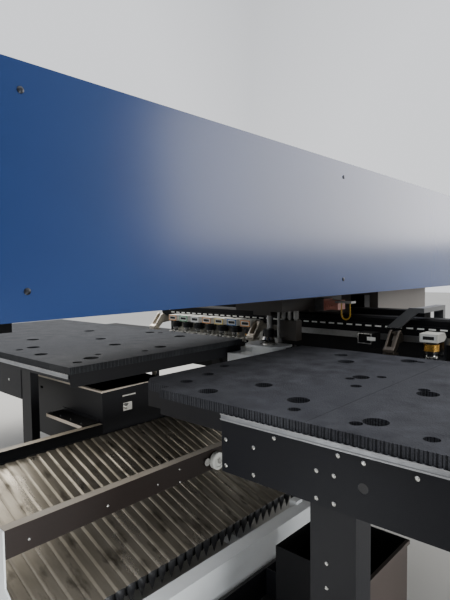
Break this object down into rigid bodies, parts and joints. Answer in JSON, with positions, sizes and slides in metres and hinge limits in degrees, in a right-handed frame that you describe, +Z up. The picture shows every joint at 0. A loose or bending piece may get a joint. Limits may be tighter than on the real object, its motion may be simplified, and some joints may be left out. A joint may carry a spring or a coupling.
{
  "type": "punch press",
  "caption": "Sheet metal punch press: a punching head travels under a long blue cover over fixed brush tables, with a linear tool magazine behind them and a lamella bellows in the pit.",
  "frame": {"origin": "on the floor under the middle of the machine", "axes": "+X to the right along the tables, +Y to the back along the upper arm, +Z up; the punch line is x = 0"},
  "size_m": [5.7, 4.4, 2.149],
  "materials": {
    "cover_blue": "satin",
    "frame_grey": "satin",
    "frame_white": "satin",
    "powder_black": "satin",
    "brush_dark": "matte",
    "brush_grey": "matte",
    "zinc": "satin",
    "steel": "satin",
    "lamella_steel": "satin",
    "rail_brown": "satin",
    "rail_beige": "satin",
    "head_brown": "satin",
    "beam_grey": "satin",
    "valve_salmon": "matte",
    "hose_yellow": "satin",
    "gold": "satin",
    "cassette_white": "satin",
    "tag_orange": "satin",
    "wheel_white": "satin",
    "box_brown": "satin",
    "button_red": "satin",
    "button_green": "satin",
    "screw_dark": "satin"
  },
  "bodies": {
    "machine": {"c_frame": "frame_grey", "base_frame": "frame_white", "levelling_feet": "steel", "front_plate": "frame_white", "cover_frames": "frame_grey", "cover_right": "cover_blue", "cover_left": "cover_blue", "cover_top": "cover_blue", "cover_front": "cover_blue", "cover_rear": "cover_blue", "drive_housing": "powder_black", "screws": "screw_dark", "head_rails": "steel", "die_rails": "steel", "cross_beam": "beam_grey", "rear_guards": "powder_black", "sensor_arm": "beam_grey", "cross_rails": "steel", "cross_rack": "steel", "table_frame_right": "powder_black", "table_frame_left": "powder_black", "deck_right": "powder_black", "deck_left": "powder_black", "apron_right": "powder_black", "apron_left": "powder_black", "table_legs": "powder_black", "brush_mats_right": "brush_dark", "brush_mats_left": "brush_grey", "tooth_strips": "zinc", "cable_housing": "powder_black", "housing_latch": "steel", "housing_angle": "zinc", "guard_rail_left": "rail_beige", "guard_rail_right": "rail_brown", "wheel_bracket": "steel", "bellows": "lamella_steel", "cabinet": "frame_grey", "panel_mount": "beam_grey"},
    "head": {"head_slide": "head_brown", "head_cylinders": "steel", "valve_block": "valve_salmon", "air_hose": "hose_yellow"},
    "ram": {"ram": "steel"},
    "punch": {"punch_holder": "gold"},
    "die": {"die_carriage": "frame_white"},
    "die_tool": {"die_holder": "steel"},
    "magazine": {"magazine_slide": "steel", "cassettes": "cassette_white", "cassette_tags": "tag_orange", "tools": "steel"},
    "jaw_left": {"clamp_jaw_left": "steel"},
    "jaw_middle": {"clamp_jaw_middle": "steel"},
    "jaw_right": {"clamp_jaw_right": "steel"},
    "door": {"cabinet_door": "frame_grey"},
    "handle": {"door_handle": "powder_black"},
    "arm": {"swing_arm": "frame_grey"},
    "panel": {"control_panel": "frame_grey"},
    "stop": {"stop_button": "button_red"},
    "start": {"start_button": "button_green"},
    "wheel": {"guide_wheel": "wheel_white"},
    "bin": {"scrap_bin": "powder_black"},
    "box": {"parts_box": "box_brown"}
  },
  "joints": [
    {"name": "head_y", "type": "slide", "parent": "machine", "child": "head", "axis": [0, 1, 0], "range_m": [-1.25, 0]},
    {"name": "ram_z", "type": "slide", "parent": "head", "child": "ram", "axis": [0, 0, 1], "range_m": [-0.024, 0]},
    {"name": "punch_turn", "type": "hinge", "parent": "ram", "child": "punch", "pos_m": [0, -0.02, 1.06], "axis": [0, 0, 1], "continuous": true},
    {"name": "die_y", "type": "slide", "parent": "machine", "child": "die", "axis": [0, 1, 0], "range_m": [-1.25, 0], "deforming": ["bellows"]},
    {"name": "die_turn", "type": "hinge", "parent": "die", "child": "die_tool", "pos_m": [0, -0.02, 0.975], "axis": [0, 0, 1], "continuous": true},
    {"name": "x_axis", "type": "slide", "parent": "machine", "child": "magazine", "axis": [1, 0, 0], "range_m": [-1.25, 1.25]},
    {"name": "clamp_left", "type": "hinge", "parent": "magazine", "child": "jaw_left", "pos_m": [-1.373, 0.164, 1.108], "axis": [1, 0, 0], "range_deg": [-7, 0]},
    {"name": "clamp_middle", "type": "hinge", "parent": "magazine", "child": "jaw_middle", "pos_m": [-0.234, 0.164, 1.108], "axis": [1, 0, 0], "range_deg": [-7, 0]},
    {"name": "clamp_right", "type": "hinge", "parent": "magazine", "child": "jaw_right", "pos_m": [0.837, 0.164, 1.108], "axis": [1, 0, 0], "range_deg": [-7, 0]},
    {"name": "wheel_spin", "type": "hinge", "parent": "machine", "child": "wheel", "pos_m": [0.49, -1.08, 0.592], "axis": [1, 0, 0], "continuous": true},
    {"name": "cabinet_door", "type": "hinge", "parent": "machine", "child": "door", "pos_m": [-1.4823, 2.188, 1], "axis": [0, 0, 1], "range_deg": [-110, 0]},
    {"name": "door_handle", "type": "hinge", "parent": "door", "child": "handle", "pos_m": [-1.4946, 1.222, 1], "axis": [1, 0, 0], "range_deg": [0, 90]},
    {"name": "arm_swing", "type": "hinge", "parent": "machine", "child": "arm", "pos_m": [-0.646, -1.87, 1.54], "axis": [0, 0, 1], "range_deg": [-45, 45]},
    {"name": "panel_turn", "type": "hinge", "parent": "arm", "child": "panel", "pos_m": [-1.066, -1.87, 1.48], "axis": [0, 0, 1], "range_deg": [-60, 60]},
    {"name": "stop_press", "type": "slide", "parent": "panel", "child": "stop", "axis": [0, 1, 0], "range_m": [0, 0.005], "stiffness_N_per_m": 400},
    {"name": "start_press", "type": "slide", "parent": "panel", "child": "start", "axis": [0, 1, 0], "range_m": [0, 0.005], "stiffness_N_per_m": 400},
    {"name": "bin_slide", "type": "slide", "parent": "machine", "child": "bin", "axis": [0, -1, 0], "range_m": [0, 0.6]},
    {"name": "box_slide", "type": "slide", "parent": "machine", "child": "box", "axis": [1, 0, 0], "range_m": [0, 0.6]}
  ],
  "couplings": [
    {"joint": "die_y", "follows": "head_y", "ratio": 1},
    {"joint": "die_turn", "follows": "punch_turn", "ratio": 1},
    {"joint": "clamp_middle", "follows": "clamp_left", "ratio": 1},
    {"joint": "clamp_right", "follows": "clamp_left", "ratio": 1}
  ]
}
